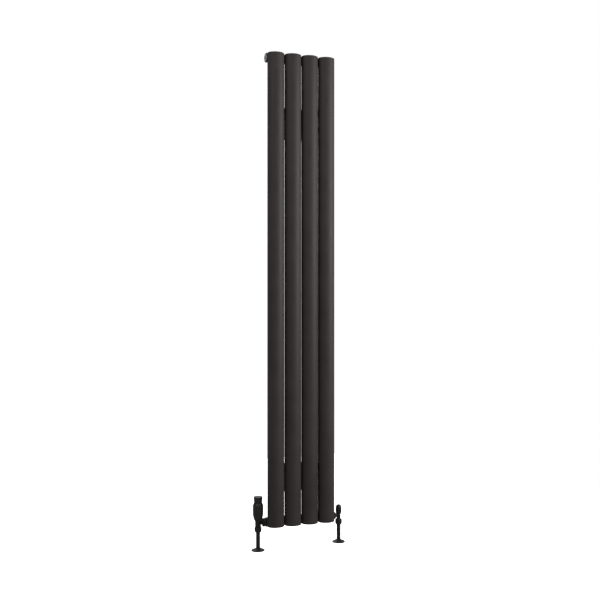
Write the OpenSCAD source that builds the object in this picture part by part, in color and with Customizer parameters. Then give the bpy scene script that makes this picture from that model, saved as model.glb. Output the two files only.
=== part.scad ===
// Tall wall radiator of upright oval tubes, with an angled thermostatic valve on the left,
// an angled lockshield valve on the right and a pipe with a floor collar under each.
// Origin: centre of the four wall fixing holes, on the wall's face. +Y points into the wall.

/* [Oval tubes] */
// Number of upright tubes
tube_count = 4; // [4:1:8]
// Height of the upright tubes
tube_h = 1600; // [1200:10:2000]
// Width of one tube, across the front
tube_w = 58; // [50:0.2:60]
// Depth of one tube, front to back
tube_d = 48; // [44:0.5:56]
// Radius of the tube's rounded sides
tube_side_r = 21; // [18:0.5:21.5]
// Wall of the tube
tube_wall = 1.5; // [1.2:0.1:2.5]
// Distance from one tube's centre to the next
tube_pitch = 61.2; // [61:0.1:75]
// Thickness of the plates that close the tube ends
end_plate_t = 2; // [1.5:0.1:4]

/* [Headers] */
// Outside diameter of the two cross tubes
header_od = 32; // [30:0.5:38]
// Wall of the cross tubes
header_wall = 2.6; // [2:0.1:3]
// From the tube ends in to the header's axis
header_inset = 11.5; // [10:0.5:40]
// From the tubes' centre plane back to the header's axis
header_back = 22; // [18:0.5:26]
// Diameter of the water port from the header into each tube
port_d = 14; // [8:0.5:18]
// Length of the threaded boss in each header end
boss_l = 14; // [12.5:0.5:20]
// Bore of the threaded boss
boss_bore_d = 19; // [18.5:0.1:20]

/* [Wall fixing] */
// From the wall to the tubes' centre plane
wall_to_tubes = 72; // [65:1:100]
// Height of the lower fixing holes above the tubes' lower ends
low_fix = 148; // [120:1:250]
// Distance of the upper fixing holes below the tubes' upper ends
top_fix = 227; // [120:1:300]
// Sideways distance between the two fixing holes of a bracket
fix_dx = 90; // [40:1:100]
// Diameter of the fixing holes
fix_hole_d = 8.5; // [5:0.1:10]
// Sheet thickness of the brackets
bracket_t = 3; // [2:0.1:3]
// Height of a bracket's plate
plate_h = 100; // [80:1:160]
// Height of the hanging rail behind the tubes
rail_h = 22; // [15:1:30]
// Thickness of the hanging rail
rail_t = 4; // [3:0.1:5]
// Thickness of the plastic sleeve in a hook slot
sleeve_t = 1.5; // [1:0.1:2]

/* [Valves and pipes] */
// From the tubes' lower ends down to the floor
floor_gap = 82; // [75:1:150]
// From the header's end out to a valve's upright axis
valve_out = 27; // [27:0.5:40]
// Outside diameter of the pipes
pipe_od = 14; // [12:0.5:15]
// Wall of the pipes
pipe_wall = 1; // [0.7:0.1:1.5]
// Outside diameter of a floor collar
collar_d = 45; // [34:0.5:60]
// Height of a floor collar
collar_h = 9; // [6:0.5:16]
// Diameter of the thermostatic handle
handle_d = 35.6; // [34:0.2:44]
// Height of the thermostatic handle above its fixing ring
handle_h = 47.5; // [44:0.5:60]
// Diameter of the cap on top of the thermostatic handle
head_cap_d = 30; // [28:0.5:31]
// Height of the cap on top of the thermostatic handle
head_cap_h = 21.5; // [12:0.5:30]
// Diameter of the lockshield cap
shield_d = 20.5; // [20:0.1:26]
// Height of the lockshield cap
shield_h = 31.5; // [27:0.5:40]
// How far the thermostatic valve's pin travels
pin_travel = 2.5; // [1.5:0.1:2.5]
// How far the lockshield's plug travels
plug_travel = 3; // [2:0.1:3]

/* [Hidden] */
$fn = 96;
eps = 0.01;               // overshoot of a cutting shape past the face it opens
slide_gap = 0.05;         // radial gap of a stem that turns or slides in its guide
fit_gap = 0.1;            // radial gap between screwed parts
turn_gap = 0.4;           // radial gap between a shell and what it turns around
loose_gap = 0.3;          // gap round a part that slides freely

tube_ids = [for (i = [1:tube_count]) str("oval_tube_", i)];

anthracite = [0.21, 0.20, 0.19];
soft_black = [0.10, 0.10, 0.10];
brass = [0.78, 0.62, 0.32];
chrome = [0.80, 0.81, 0.82];
steel = [0.62, 0.63, 0.64];
rubber = [0.06, 0.06, 0.06];
white_plastic = [0.86, 0.86, 0.84];

// Heights, from the fixing holes' centre
fix_dz = tube_h - low_fix - top_fix;
low_fix_z = -fix_dz / 2;
top_fix_z = fix_dz / 2;
tubes_z = low_fix_z - low_fix;
floor_z = tubes_z - floor_gap;
low_axis_z = tubes_z + header_inset;
top_axis_z = tubes_z + tube_h - header_inset;

// Places across the front and from the wall
tube_y = -wall_to_tubes;
header_y = tube_y + header_back;
half_w = (tube_count - 1) * tube_pitch / 2 + tube_w / 2;
header_r = header_od / 2;
valve_x = half_w + valve_out;

// Hanging rails and the hook slots that take them
rail_y = tube_y + tube_d / 2 - 1;      // the rail's front, let 1 mm into the tubes' backs
rail_l = (tube_count - 1) * tube_pitch - 3;
rail_up = plate_h - rail_h;             // the rail's top is level with the plate's
top_rail_z = top_fix_z - plate_h / 2 + rail_up;
low_rail_z = low_fix_z - plate_h / 2 + rail_up;
slot_w = rail_t + 2 * sleeve_t;
slot_y = rail_y - sleeve_t;
hook_nose = 4;                         // metal in front of the hook slot
arm_l = -slot_y + hook_nose;
arm_x = tube_pitch;                    // the arms stand in the gaps between tubes

// Screwed ends at the headers
thread_r = boss_bore_d / 2 - fit_gap;
seal_t = 0.5;
flange_t = 1.2;
plug_flange_r = header_r - 1.6;
shank_l = boss_l - 2;
key_af = 10;                           // hexagon socket in the blanking plug
key_depth = 6;

// Air vent, outwards from its flange
vent_nose_r = 5.5;
vent_nose_h = 4.8;
vent_screw_r = 2.5;
vent_screw_w = 5;                      // across the flats of its square end
vent_square_l = 2.8;
vent_hole_r = 1.2;
vent_ring_h = 3.4;
vent_ring_wall = 3.2;
spout_r = 1.6;
spout_hole_r = 0.8;
spout_l = 6.5;

// Thermostatic valve, from the crossing of its two axes
pipe_r = pipe_od / 2;
socket_r = pipe_r + slide_gap;
spigot_r = pipe_r + 1.9;               // threaded spigot under a valve body
nut_bore_r = spigot_r + fit_gap;
inlet_nut_af = 2 * nut_bore_r + 4;
spigot_low = -27;                      // lower end of the spigot
pipe_top = spigot_low + 10;
inlet_nut_low = spigot_low - 4;
olive_low = spigot_low - 2.7;
barrel_low = -11;
barrel_r = 10.2;
chamber_r = 6.6;
disc_r = 5.6;
disc_t = 3;
seat_gap = 0.1;                        // left between disc and seat when the valve is shut
seat_z = -4.5;
disc_z = seat_z + seat_gap + pin_travel;
pin_r = 1.6;
ring_low = 6.2;                        // lower face of the fixing ring
ring_top = 19.5;
neck_r = 8.4;
neck_top = 12;
gland_top = 16;
pin_head_z = 23;
pin_head_r = 3.2;
pin_head_t = 1.5;
pin_spring_r = 2.6;
pin_wire_r = 0.4;
sensor_r = 10.5;
sensor_stem_r = 2;
overtravel_r = 7.5;
overtravel_wire_r = 0.7;
spring_turns = 4;
core_r = 13.4;
core_wall = 1.5;
core_floor_t = 2;
core_hole_r = 7;
core_top = ring_top + handle_h - 6;
sensor_low = pin_head_z + 5;
spring_low = core_top - 11;
nut_low = spring_low + 8;
nut_hole_r = 4;
handle_low = ring_top + 0.6;
handle_top = handle_low + handle_h;
handle_bore_r = core_r + turn_gap;
handle_r = handle_d / 2;
handle_wall = 2;
bullet_z = ring_low + 28.5;            // height where the head reaches its full width
bullet_l = 35.7;                       // half length of the ellipse below that height
cap_spigot_r = 9.8;

// Union between a valve body and its tailpiece, measured from the upright axis
union_nut_start = valve_out - 10.8;
union_nut_end = valve_out - 0.4;
union_thread_r = 11.2;
union_collar_r = 10.8;
union_nut_af = 25.5;
tail_bore_r = 6.8;
branch_bore_r = 4.5;
waist_r = 6;                           // thin part of the branch, beside the body
riser_r = pipe_r - pipe_wall - 0.8;    // water way above the pipe's stop
trv_seat_r = 4.2;
lock_seat_r = 3.5;
gland_af = 13;
gland_room_r = 10.5;                   // recess of the fixing ring over the gland

// Lockshield valve
shield_low = 6.4;
shield_wall = 1.5;
shield_r = shield_d / 2;
shield_bore_r = shield_r - shield_wall - 0.5;
shield_rim_r = shield_r - 1;
lock_barrel_r = 7;
lock_chamber_r = 5.5;
lock_plug_r = lock_chamber_r - loose_gap;
lock_seat_z = -4.1;
lock_plug_z = lock_seat_z + seat_gap + plug_travel;
lock_plug_h = 7.5;
lock_neck_top = 13;
lock_gland_low = 9;
lock_gland_top = lock_neck_top + 4;
spindle_r = 2.5;
spindle_collar_r = 4.5;

tube_half = tube_w / 2;
tube_deep = tube_d / 2;

// ---- shared shapes ----

// Radius of the flatter front and back arcs that meet the side arcs without a corner
function flank_r(a, b, r) = (a * a - 2 * a * r + b * b) / (2 * (b - r));

// Oval of four true arcs: half width a, half depth b, side radius r
module oval(a, b, r) {
    fr = flank_r(a, b, r);
    join_x = fr * (a - r) / (fr - r);
    for (s = [-1, 1]) translate([s * (a - r), 0]) circle(r);
    intersection() {
        translate([0, fr - b]) circle(fr);
        translate([0, b - fr]) circle(fr);
        square([2 * join_x, 2 * b], center = true);
    }
}

module tube_outline(inset = 0) {
    oval(tube_half - inset, tube_deep - inset, tube_side_r - inset);
}

function tube_x(i) = (i - (tube_count + 1) / 2) * tube_pitch;

module at_tube(i) {
    translate([tube_x(i), tube_y, tubes_z]) children();
}

// Puts a shape that stands on its own Z axis at a header axis, pointing out of the end at side
module at_header_end(side, z, out = half_w) {
    translate([side * out, header_y, z]) rotate([0, side * 90, 0]) children();
}

// Both header axes as solid bars of radius r
module header_bars(r) {
    for (z = [low_axis_z, top_axis_z])
        translate([-half_w - 1, header_y, z]) rotate([0, 90, 0])
            cylinder(r = r, h = 2 * half_w + 2);
}

module ring(r_out, r_in, h, z = 0) {
    translate([0, 0, z]) difference() {
        cylinder(r = r_out, h = h);
        translate([0, 0, -eps]) cylinder(r = r_in, h = h + 2 * eps);
    }
}

module rod(r, z1, z2) {
    translate([0, 0, z1]) cylinder(r = r, h = z2 - z1);
}

// Hexagon with its corners turned off at both ends, over the height bevel
module hex_bar(af, z1, z2, bevel = 0.8) {
    corner_r = af / 2 / cos(30);
    end_r = min(corner_r - bevel * 0.8, af / 2 - 0.2);
    intersection() {
        translate([0, 0, z1]) cylinder(r = corner_r - eps, h = z2 - z1, $fn = 6);
        rotate_extrude()
            polygon([[0, z1], [end_r, z1], [corner_r, z1 + bevel],
                     [corner_r, z2 - bevel], [end_r, z2], [0, z2]]);
    }
}

// Helical spring standing on z = 0, swept with an eight-sided wire
module coil_spring(mean_r, wire_r, height, turns) {
    sides = 8;
    steps = turns * 18;
    rise = height - 2 * wire_r;
    points = [for (i = [0:steps]) for (k = [0:sides - 1])
        let (a = 360 * turns * i / steps, b = 360 * k / sides, r = mean_r + wire_r * cos(b))
        [r * cos(a), r * sin(a), wire_r + rise * i / steps + wire_r * sin(b)]];
    skin = [for (i = [0:steps - 1]) for (k = [0:sides - 1])
        let (n = (k + 1) % sides)
        [i * sides + k, i * sides + n, (i + 1) * sides + n, (i + 1) * sides + k]];
    start = [for (k = [sides - 1:-1:0]) k];
    end = [for (k = [0:sides - 1]) steps * sides + k];
    polyhedron(points, concat([start], skin, [end]));
}

// ---- radiator ----

module oval_tube(i) {
    color(anthracite) difference() {
        at_tube(i) linear_extrude(tube_h) difference() {
            tube_outline();
            tube_outline(tube_wall);
        }
        header_bars(header_r);
    }
}

module tube_caps(z) {
    color(anthracite) difference() {
        for (i = [1:tube_count])
            at_tube(i) translate([0, 0, z]) linear_extrude(end_plate_t) tube_outline(tube_wall);
        header_bars(header_r);
    }
}

module header(z) {
    color(anthracite) difference() {
        at_header_end(1, z, -half_w) ring(header_r, header_r - header_wall, 2 * half_w);
        for (i = [1:tube_count])
            translate([tube_x(i), header_y, z]) rotate([90, 0, 0])
                cylinder(d = port_d, h = header_r + 1);
    }
}

module header_bosses() {
    color(steel)
        for (side = [-1, 1]) for (z = [low_axis_z, top_axis_z])
            at_header_end(side, z)
                ring(header_r - header_wall, boss_bore_d / 2, boss_l, -boss_l);
}

module hanging_rail(z) {
    color(anthracite) difference() {
        translate([-rail_l / 2, rail_y, z]) cube([rail_l, rail_t, rail_h]);
        for (i = [1:tube_count])
            translate([tube_x(i), tube_y, z - 1]) linear_extrude(rail_h + 2) tube_outline();
    }
}

// Outline of a bracket arm, from the wall out along x and up along y
module arm_outline() {
    nose_h = plate_h - (rail_up - sleeve_t) + 15;
    difference() {
        polygon([[0, 0], [arm_l * 0.45, plate_h - nose_h - 8], [arm_l, plate_h - nose_h],
                 [arm_l, plate_h - 3], [arm_l - 3, plate_h], [0, plate_h]]);
        translate([-slot_y - slot_w, rail_up - sleeve_t])
            square([slot_w, plate_h]);
    }
}

// Channel bent from sheet: a plate on the wall and two arms with hook slots
module wall_bracket(fix_z) {
    low = fix_z - plate_h / 2;
    plate_w = 2 * arm_x + bracket_t;
    color(anthracite) difference() {
        union() {
            translate([-plate_w / 2, -bracket_t, low]) cube([plate_w, bracket_t, plate_h]);
            for (s = [-1, 1])
                translate([s * arm_x + bracket_t / 2, 0, low]) rotate([90, 0, -90])
                    linear_extrude(bracket_t) arm_outline();
        }
        for (s = [-1, 1])
            translate([s * fix_dx / 2, 1, fix_z]) rotate([90, 0, 0])
                cylinder(d = fix_hole_d, h = bracket_t + 2);
    }
}

module hook_sleeves(rail_z) {
    sleeve_l = bracket_t + 4;
    color(soft_black)
        for (s = [-1, 1])
            translate([s * arm_x - sleeve_l / 2, slot_y, rail_z - sleeve_t]) difference() {
                cube([sleeve_l, slot_w, rail_h + sleeve_t]);
                translate([-1, sleeve_t, sleeve_t])
                    cube([sleeve_l + 2, rail_t, rail_h + 1]);
            }
}

// ---- plug and air vent ----

// Screwed shank with a flange that closes on a seal against the header's end
module screwed_flange(flange_r) {
    rod(thread_r, -shank_l, seal_t + eps);
    translate([0, 0, seal_t]) rotate_extrude()
        polygon([[0, 0], [flange_r, 0], [flange_r, flange_t - 0.5], [flange_r - 0.5, flange_t],
                 [0, flange_t]]);
}

module blanking_plug() {
    color(chrome) at_header_end(-1, top_axis_z) difference() {
        screwed_flange(plug_flange_r);
        translate([0, 0, -key_depth])
            cylinder(r = key_af / 2 / cos(30), h = 2 * key_depth, $fn = 6);
    }
}

module flange_seal(side) {
    color(rubber) at_header_end(side, top_axis_z)
        ring(plug_flange_r - 1, thread_r + fit_gap, seal_t);
}

module air_vent_body() {
    color(chrome) at_header_end(1, top_axis_z) difference() {
        union() {
            screwed_flange(plug_flange_r);
            rod(vent_nose_r, seal_t + flange_t - eps, seal_t + flange_t + vent_nose_h);
        }
        rod(vent_screw_r + slide_gap, -4, seal_t + flange_t + vent_nose_h + 1);
        rod(vent_hole_r, -shank_l - 1, 0);
    }
}

module air_vent_ring() {
    z1 = seal_t + flange_t + 0.3;
    spout_z = z1 + vent_ring_h / 2;
    color(white_plastic) at_header_end(1, top_axis_z) difference() {
        union() {
            ring(vent_nose_r + vent_ring_wall, vent_nose_r + slide_gap, vent_ring_h, z1);
            translate([vent_nose_r + 1.5, 0, spout_z]) rotate([0, 90, 0])
                cylinder(r = spout_r, h = spout_l);
        }
        translate([vent_nose_r + 0.5, 0, spout_z]) rotate([0, 90, 0])
            cylinder(r = spout_hole_r, h = spout_l + 2);
        rod(vent_nose_r + slide_gap, z1 - 1, z1 + vent_ring_h + 1);
    }
}

module air_vent_screw() {
    top = seal_t + flange_t + vent_nose_h;
    color(brass) at_header_end(1, top_axis_z) {
        rod(vent_screw_r, -3, top + eps);
        translate([0, 0, top]) rotate([0, 0, 45])
            cylinder(r = vent_screw_w / sqrt(2), h = vent_square_l, $fn = 4);
    }
}

// ---- parts that both valves have ----

// Turns a shape on the upright axis of the valve at side; its branch runs along local +X
module at_valve(side) {
    translate([side * valve_x, header_y, low_axis_z]) rotate([0, 0, side > 0 ? 180 : 0])
        children();
}

module along_branch() {
    rotate([0, 90, 0]) children();
}

// Outside of the branch: a waist, then a shoulder and the thread for the union nut
module branch_solid(waist_end, shoulder_r) {
    along_branch() {
        rod(waist_r, 0, waist_end + eps);
        translate([0, 0, waist_end]) cylinder(r1 = waist_r, r2 = shoulder_r, h = 2);
        rod(shoulder_r, waist_end + 2 - eps, union_nut_start);
        rod(union_thread_r, union_nut_start - eps, union_nut_start + 5.3);
    }
}

module tailpiece() {
    collar_start = union_nut_start + 5.5;
    difference() {
        union() {
            rod(union_collar_r, collar_start, collar_start + 2.6);
            rod(thread_r, collar_start, valve_out + shank_l);
        }
        rod(tail_bore_r, 0, valve_out + boss_l);
    }
}

module union_nut() {
    difference() {
        hex_bar(union_nut_af, union_nut_start, union_nut_end, 2);
        rod(union_thread_r + fit_gap, union_nut_start - 1, union_nut_start + 8.2);
        rod(boss_bore_d / 2 + fit_gap, 0, valve_out + 1);
    }
}

module inlet_nut() {
    difference() {
        hex_bar(inlet_nut_af, inlet_nut_low, barrel_low - 2.4, 3.4);
        rod(nut_bore_r, olive_low - 0.1, 0);
        rod(pipe_r + 0.2, inlet_nut_low - 1, 0);
    }
}

// Brass ring that the nut squeezes on to the pipe
module olive() {
    top = spigot_low - 0.1;
    mid = (olive_low + top) / 2;
    outer = nut_bore_r - 0.2;
    rotate_extrude()
        polygon([[pipe_r, olive_low], [pipe_r + 0.8, olive_low], [outer, mid - 0.4],
                 [outer, mid + 0.4], [pipe_r + 0.8, top], [pipe_r, top]]);
}

module inlet_solid(barrel) {
    rod(spigot_r, spigot_low, barrel_low - 2 + eps);
    translate([0, 0, barrel_low - 2]) cylinder(r1 = spigot_r - 0.1, r2 = barrel, h = 2 + eps);
}

// Water way: pipe socket, riser and seat
module inlet_bore(chamber, seat_r, seat) {
    rod(socket_r, spigot_low - 1, pipe_top);
    rod(riser_r, pipe_top - eps, seat - 3);
    rod(seat_r, seat - 4, seat + eps);
    rod(chamber, seat, neck_top + 10);
    along_branch() rod(branch_bore_r, 0, valve_out);
}

// ---- thermostatic valve ----

module trv_body() {
    color(soft_black) at_valve(-1) difference() {
        union() {
            inlet_solid(barrel_r);
            rod(barrel_r, barrel_low, ring_low - 0.5);
            rod(neck_r, 0, neck_top);
            branch_solid(12.4, 10.9);
        }
        inlet_bore(chamber_r, trv_seat_r, seat_z);
    }
}

module trv_tail() {
    color(brass) at_valve(-1) along_branch() tailpiece();
}

module trv_union_nut() {
    color(soft_black) at_valve(-1) along_branch() union_nut();
}

module trv_inlet_nut() {
    color(soft_black) at_valve(-1) inlet_nut();
}

module trv_olive() {
    color(brass) at_valve(-1) olive();
}

module trv_gland() {
    color(brass) at_valve(-1) difference() {
        union() {
            rod(chamber_r - fit_gap, branch_bore_r + 0.5, neck_top + eps);
            hex_bar(gland_af, neck_top, gland_top);
        }
        rod(pin_r + slide_gap, 0, gland_top + 1);
    }
}

module trv_valve_disc() {
    color(rubber) at_valve(-1) rod(disc_r, disc_z, disc_z + disc_t);
}

module trv_pin() {
    color(steel) at_valve(-1) {
        rod(pin_r, disc_z + disc_t, pin_head_z + eps);
        rod(pin_head_r, pin_head_z, pin_head_z + pin_head_t);
    }
}

module trv_pin_spring() {
    color(steel) at_valve(-1) translate([0, 0, gland_top])
        coil_spring(pin_spring_r, pin_wire_r, pin_head_z - gland_top, spring_turns);
}

// Half width of the thermostatic head's rounded lower end at height z
function bullet_r(z) = handle_r * sqrt(1 - pow((bullet_z - z) / bullet_l, 2));

module trv_fixing_ring() {
    steps = 12;
    rise = ring_top - ring_low;
    color(soft_black) at_valve(-1) difference() {
        rotate_extrude()
            polygon(concat([[0, ring_low]],
                           [for (i = [0:steps]) let (z = ring_low + rise * i / steps)
                            [bullet_r(z), z]],
                           [[0, ring_top]]));
        rod(neck_r + fit_gap, 0, ring_top);
        rod(gland_room_r, neck_top - 0.2, ring_top + 1);
    }
}

module trv_head_core() {
    color(white_plastic) at_valve(-1) difference() {
        rod(core_r, ring_top, core_top);
        rod(core_r - core_wall, ring_top + core_floor_t, core_top + 1);
        rod(core_hole_r, ring_top - 1, ring_top + core_floor_t + 1);
    }
}

module trv_sensor() {
    color(steel) at_valve(-1) {
        rod(sensor_stem_r, pin_head_z + pin_head_t, sensor_low + eps);
        rod(sensor_r, sensor_low, spring_low);
    }
}

module trv_overtravel_spring() {
    color(steel) at_valve(-1) translate([0, 0, spring_low])
        coil_spring(overtravel_r, overtravel_wire_r, nut_low - spring_low, spring_turns);
}

module trv_setting_nut() {
    color(white_plastic) at_valve(-1)
        ring(core_r - core_wall - loose_gap, nut_hole_r, core_top - nut_low, nut_low);
}

module trv_handle() {
    steps = 12;
    rise = bullet_z - handle_low;
    shoulder_h = 7;
    shoulder_r = handle_r - 3.1;
    wide_bore_r = handle_r - handle_wall;
    color(soft_black) at_valve(-1) difference() {
        rotate_extrude()
            polygon(concat([[0, handle_low]],
                           [for (i = [0:steps]) let (z = handle_low + rise * i / steps)
                            [bullet_r(z), z]],
                           [[handle_r, handle_top - shoulder_h],
                            [shoulder_r, handle_top - 0.6], [shoulder_r - 0.6, handle_top],
                            [0, handle_top]]));
        rod(handle_bore_r, handle_low - 1, handle_top - 2.5);
        rod(wide_bore_r, bullet_z - eps, handle_top - shoulder_h - 0.5);
        rod(cap_spigot_r + fit_gap, handle_top - 4, handle_top + 1);
    }
}

module trv_handle_cap() {
    cap_r = head_cap_d / 2;
    top = handle_top + head_cap_h;
    foot_r = cap_r - 1.4;
    edge = 1.2;
    color(soft_black) at_valve(-1) difference() {
        union() {
            rotate_extrude()
                polygon([[0, handle_top], [foot_r, handle_top], [foot_r, handle_top + 3],
                         [cap_r, top - 4], [cap_r, top - edge],
                         [cap_r - edge * 0.3, top - edge * 0.3], [cap_r - edge, top], [0, top]]);
            rod(cap_spigot_r, handle_top - 2.5, handle_top + eps);
        }
        rod(cap_spigot_r - 1.8, handle_top - 4, top - 2.2);
    }
}

// ---- lockshield valve ----

module lockshield_body() {
    color(soft_black) at_valve(1) difference() {
        union() {
            inlet_solid(lock_barrel_r);
            rod(lock_barrel_r, barrel_low, lock_neck_top);
            rod(shield_rim_r - 0.2, shield_low - 0.8, shield_low);
            branch_solid(shield_r + 0.5, 10);
        }
        inlet_bore(lock_chamber_r, lock_seat_r, lock_seat_z);
    }
}

module lockshield_tail() {
    color(brass) at_valve(1) along_branch() tailpiece();
}

module lockshield_union_nut() {
    color(soft_black) at_valve(1) along_branch() union_nut();
}

module lockshield_inlet_nut() {
    color(soft_black) at_valve(1) inlet_nut();
}

module lockshield_olive() {
    color(brass) at_valve(1) olive();
}

module lockshield_gland() {
    color(brass) at_valve(1) difference() {
        union() {
            rod(lock_chamber_r - fit_gap, lock_gland_low, lock_neck_top + eps);
            hex_bar(gland_af, lock_neck_top, lock_gland_top);
        }
        rod(spindle_r + slide_gap, 0, lock_gland_top + 1);
    }
}

module lockshield_plug() {
    color(brass) at_valve(1) difference() {
        rod(lock_plug_r, lock_plug_z, lock_plug_z + lock_plug_h);
        rod(spindle_r, lock_plug_z + 1.5, 20);
    }
}

module lockshield_spindle() {
    thread_low = lock_plug_z + 1.8;
    collar_low = lock_plug_z + lock_plug_h + 0.3;
    square_low = lock_gland_top + 1;
    color(brass) at_valve(1) {
        rod(spindle_r - slide_gap, thread_low, collar_low + eps);
        rod(spindle_collar_r, collar_low, lock_gland_low - 0.2);
        rod(spindle_r, collar_low, square_low + eps);
        translate([0, 0, square_low]) rotate([0, 0, 45])
            cylinder(r = spindle_r - fit_gap, h = 6, $fn = 4);
    }
}

module lockshield_cap() {
    dome = 7;
    steps = 10;
    top = shield_low + shield_h;
    color(soft_black) at_valve(1) difference() {
        rotate_extrude()
            polygon(concat([[0, shield_low], [shield_rim_r, shield_low],
                            [shield_r, shield_low + 4]],
                           [for (i = [0:steps]) let (a = 90 * i / steps)
                            [shield_r * cos(a), top - dome + dome * sin(a)]]));
        rod(shield_bore_r, shield_low - 1, top - dome);
    }
}

// ---- pipes and floor collars ----

module pipe(side) {
    color(soft_black) at_valve(side)
        ring(pipe_r, pipe_r - pipe_wall, low_axis_z + pipe_top - 0.2 - floor_z,
             floor_z - low_axis_z);
}

module floor_collar(side) {
    bore_r = pipe_r + loose_gap;
    rim_r = collar_d / 2;
    rim_h = 1.6;
    crown_r = bore_r + 1;
    steps = 10;
    color(soft_black) translate([side * valve_x, header_y, floor_z]) rotate_extrude()
        polygon(concat([[bore_r, 0], [rim_r, 0]],
                       [for (i = [0:steps]) let (t = i / steps)
                        [rim_r + (crown_r - rim_r) * t,
                         rim_h + (collar_h - rim_h) * pow(t, 1.35)]],
                       [[bore_r, collar_h]]));
}

// ---- the nodes ----

for (i = [1:tube_count]) oval_tube(i);
tube_caps(tube_h - end_plate_t);  // tube_caps_top
tube_caps(0);  // tube_caps_bottom
header(top_axis_z);  // header_top
header(low_axis_z);  // header_bottom
header_bosses();
hanging_rail(top_rail_z);  // hanging_rail_top
hanging_rail(low_rail_z);  // hanging_rail_bottom
wall_bracket(top_fix_z);  // wall_bracket_top
wall_bracket(low_fix_z);  // wall_bracket_bottom
hook_sleeves(top_rail_z);  // hook_sleeves_top
hook_sleeves(low_rail_z);  // hook_sleeves_bottom
blanking_plug();
flange_seal(-1);  // blanking_plug_seal
air_vent_body();
flange_seal(1);  // air_vent_seal
air_vent_ring();
air_vent_screw();
trv_body();
trv_tail();
trv_union_nut();
trv_inlet_nut();
trv_olive();
trv_gland();
trv_valve_disc();
trv_pin();
trv_pin_spring();
trv_fixing_ring();
trv_head_core();
trv_sensor();
trv_overtravel_spring();
trv_setting_nut();
trv_handle();
trv_handle_cap();
lockshield_body();
lockshield_tail();
lockshield_union_nut();
lockshield_inlet_nut();
lockshield_olive();
lockshield_gland();
lockshield_plug();
lockshield_spindle();
lockshield_cap();
pipe(-1);  // pipe_left
pipe(1);  // pipe_right
floor_collar(-1);  // floor_collar_left
floor_collar(1);  // floor_collar_right
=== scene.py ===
import math

import bmesh
import bpy
from mathutils import Matrix, Vector


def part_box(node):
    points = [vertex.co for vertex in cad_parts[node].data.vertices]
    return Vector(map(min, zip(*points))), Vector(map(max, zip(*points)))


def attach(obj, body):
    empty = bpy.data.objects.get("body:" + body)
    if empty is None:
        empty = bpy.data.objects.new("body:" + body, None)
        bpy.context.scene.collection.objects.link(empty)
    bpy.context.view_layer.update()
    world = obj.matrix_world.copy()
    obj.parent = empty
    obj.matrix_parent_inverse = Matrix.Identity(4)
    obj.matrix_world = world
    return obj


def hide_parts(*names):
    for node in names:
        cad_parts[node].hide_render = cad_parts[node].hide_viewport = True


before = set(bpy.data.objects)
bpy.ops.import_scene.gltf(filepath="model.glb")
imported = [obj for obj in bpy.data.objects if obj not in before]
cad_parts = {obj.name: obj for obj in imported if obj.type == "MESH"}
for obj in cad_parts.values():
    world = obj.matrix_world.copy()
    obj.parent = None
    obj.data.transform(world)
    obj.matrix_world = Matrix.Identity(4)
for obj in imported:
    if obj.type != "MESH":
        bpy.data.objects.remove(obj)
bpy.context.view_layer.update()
mm = 0.001  # profiles below are in millimetres, the scene is in metres
print("frame loaded:", len(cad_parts), "parts")


# Places taken from the frame

def middleOf(node):
    low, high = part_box(node)
    return (low + high) / 2


topAxis = middleOf("header_top")
lowAxis = middleOf("header_bottom")
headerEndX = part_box("header_top")[1].x
pipeMiddles = {-1: middleOf("pipe_left"), 1: middleOf("pipe_right")}
tubeLow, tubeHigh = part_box("oval_tube_1")
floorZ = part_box("pipe_left")[0].z
tubeNodes = sorted(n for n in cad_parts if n.startswith("oval_tube_"))
tubePitch = (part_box(tubeNodes[-1])[0].x - tubeLow.x) / (len(tubeNodes) - 1)


def headerEnd(side, axis):  # looks out of a header's end
    return (Matrix.Translation((side * headerEndX, axis.y, axis.z))
            @ Matrix.Rotation(math.radians(side * 90), 4, "Y") @ Matrix.Scale(mm, 4))


def valveUpright(side):  # stands where a valve's two axes cross, its branch along local X
    return (Matrix.Translation((pipeMiddles[side].x, lowAxis.y, lowAxis.z))
            @ Matrix.Rotation(math.radians(180 if side > 0 else 0), 4, "Z") @ Matrix.Scale(mm, 4))


def valveBranch(side):
    return valveUpright(side) @ Matrix.Rotation(math.radians(90), 4, "Y")


# Helpers for meshes

def finishMesh(mesh, sharpAngle=35):
    work = bmesh.new()
    work.from_mesh(mesh)
    bmesh.ops.remove_doubles(work, verts=work.verts, dist=1e-7)
    bmesh.ops.dissolve_degenerate(work, edges=work.edges, dist=1e-8)
    bmesh.ops.recalc_face_normals(work, faces=work.faces)
    work.to_mesh(mesh)
    work.free()
    mesh.shade_smooth()
    mesh.set_sharp_from_angle(angle=math.radians(sharpAngle))


def newObject(name, mesh):
    made = bpy.data.objects.new(name, mesh)
    bpy.context.scene.collection.objects.link(made)
    return made


def loft(name, rings, place, loop=False, sharpAngle=35):  # skins rings of equal point counts
    count = len(rings[0])
    faces = []
    for i in range(len(rings) if loop else len(rings) - 1):
        a, b = i * count, (i + 1) % len(rings) * count
        faces += [(a + k, a + (k + 1) % count, b + (k + 1) % count, b + k) for k in range(count)]
    if not loop:
        faces += [list(range(count)), list(range((len(rings) - 1) * count, len(rings) * count))]
    mesh = bpy.data.meshes.new(name)
    mesh.from_pydata([p for ring in rings for p in ring], [], faces)
    mesh.transform(place)
    finishMesh(mesh, sharpAngle)
    return newObject(name, mesh)


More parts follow.
